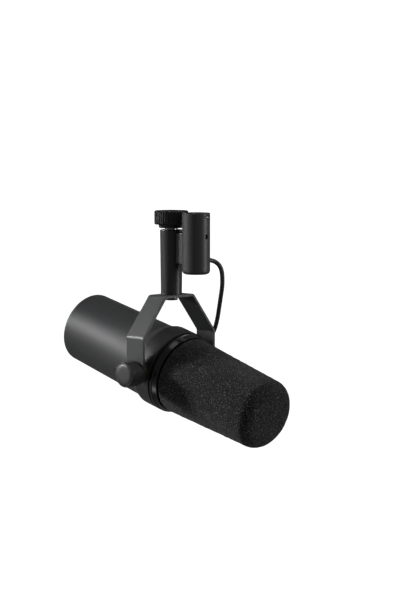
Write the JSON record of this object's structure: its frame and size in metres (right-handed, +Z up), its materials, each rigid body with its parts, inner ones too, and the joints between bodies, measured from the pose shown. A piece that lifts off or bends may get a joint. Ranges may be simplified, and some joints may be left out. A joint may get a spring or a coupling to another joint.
{
  "type": "broadcast microphone",
  "caption": "End-address broadcast microphone with a tapered grey body and a black foam windscreen, tilting in a strip yoke that swivels under a threaded stand nut.",
  "frame": {"origin": "centre of the stand thread's mouth, at the top face of the captive nut, on the swivel axis", "axes": "+Z up, out of the stand thread's mouth; +X the way the microphone points, level; +Y along the tilt axis, towards the side that the lead enters"},
  "size_m": [0.196, 0.0974, 0.1646],
  "materials": {
    "switch_lever": "matte",
    "switch_metal": "brushed",
    "black_screw": "satin",
    "brass_plain": "turned",
    "lining_cloth": "woven",
    "black_nut": "matte",
    "carrier_screw_steel": "brushed",
    "cartridge_aluminium": "turned",
    "lead_jacket": "satin",
    "flange_black": "satin",
    "board_laminate": "matte",
    "bracket_enamel": "satin",
    "housing_satin": "satin",
    "carrier_plastic": "matte",
    "contact_metal": "polished",
    "grey_felt": "felt",
    "diaphragm_film": "gloss",
    "windscreen_foam": "open foam",
    "nylon_black": "matte",
    "cage_black": "matte",
    "screen_foam": "open foam",
    "plated_steel": "brushed",
    "copper_wire": "wound",
    "knob_black": "fine texture",
    "black_rubber": "matte",
    "magnet_alloy": "ground",
    "soft_iron": "ground",
    "transformer_iron": "laminated",
    "grey_enamel_tube": "matte",
    "black_satin": "satin",
    "plate_black": "satin",
    "gloss_ring": "gloss",
    "grey_enamel": "satin"
  },
  "bodies": {
    "stand_nut": {"captive_nut": "black_nut"},
    "yoke": {"yoke_strap": "grey_enamel", "stem": "black_satin", "swivel_bush": "plated_steel", "yoke_bolt": "black_screw", "yoke_bolt_washer": "plated_steel", "connector_bracket": "bracket_enamel", "bracket_screws": "black_screw", "housing_screw": "plated_steel", "connector_housing": "housing_satin", "contact_carrier": "carrier_plastic", "contact_pins": "contact_metal", "carrier_screw": "carrier_screw_steel", "lead_grommet": "black_rubber", "lead_cable": "lead_jacket"},
    "microphone": {"chassis_ring": "flange_black", "rear_housing": "grey_enamel_tube", "trim_ring": "gloss_ring", "front_cage": "cage_black", "pivot_stud_near": "plated_steel", "pivot_stud_far": "plated_steel", "brass_washers": "brass_plain", "friction_washers": "nylon_black", "lock_washers": "plated_steel", "outer_washers": "nylon_black", "lead_gland": "black_rubber", "switch_plate": "plate_black", "plate_screws": "black_screw", "bass_switch_body": "switch_metal", "presence_switch_body": "switch_metal", "cage_lining": "lining_cloth", "front_screen": "screen_foam", "cartridge_can": "cartridge_aluminium", "resonator_cap": "cartridge_aluminium", "diaphragm": "diaphragm_film", "voice_coil": "copper_wire", "pole_piece": "soft_iron", "magnet": "magnet_alloy", "magnet_cup": "soft_iron", "humbucking_coil": "copper_wire", "shock_mount_front": "black_rubber", "shock_mount_rear": "black_rubber", "damping_felt": "grey_felt", "output_transformer": "transformer_iron", "circuit_board": "board_laminate", "cartridge_leads": "lead_jacket"},
    "windscreen": {"foam_windscreen": "windscreen_foam"},
    "knob_near": {"knob_near": "knob_black", "knob_insert_near": "brass_plain"},
    "knob_far": {"knob_far": "knob_black", "knob_insert_far": "brass_plain"},
    "bass_switch": {"bass_switch": "switch_lever"},
    "presence_switch": {"presence_switch": "switch_lever"}
  },
  "joints": [
    {"name": "swivel", "type": "hinge", "parent": "stand_nut", "child": "yoke", "pos_m": [0, 0, 0], "axis": [0, 0, 1], "continuous": true},
    {"name": "tilt", "type": "hinge", "parent": "yoke", "child": "microphone", "pos_m": [0, 0, -0.11575], "axis": [0, 1, 0], "range_deg": [-55, 30]},
    {"name": "windscreen_pull", "type": "slide", "parent": "microphone", "child": "windscreen", "axis": [0.965, 0, -0.2622], "range_m": [0, 0.1]},
    {"name": "knob_near_turn", "type": "hinge", "parent": "microphone", "child": "knob_near", "pos_m": [0, -0.0435, -0.11575], "axis": [0, 1, 0], "continuous": true},
    {"name": "knob_far_turn", "type": "hinge", "parent": "microphone", "child": "knob_far", "pos_m": [0, 0.0435, -0.11575], "axis": [0, 1, 0], "continuous": true},
    {"name": "bass_switch_slide", "type": "slide", "parent": "microphone", "child": "bass_switch", "axis": [0, 1, 0], "range_m": [0, 0.0032]},
    {"name": "presence_switch_slide", "type": "slide", "parent": "microphone", "child": "presence_switch", "axis": [0, 1, 0], "range_m": [0, 0.0032]}
  ]
}
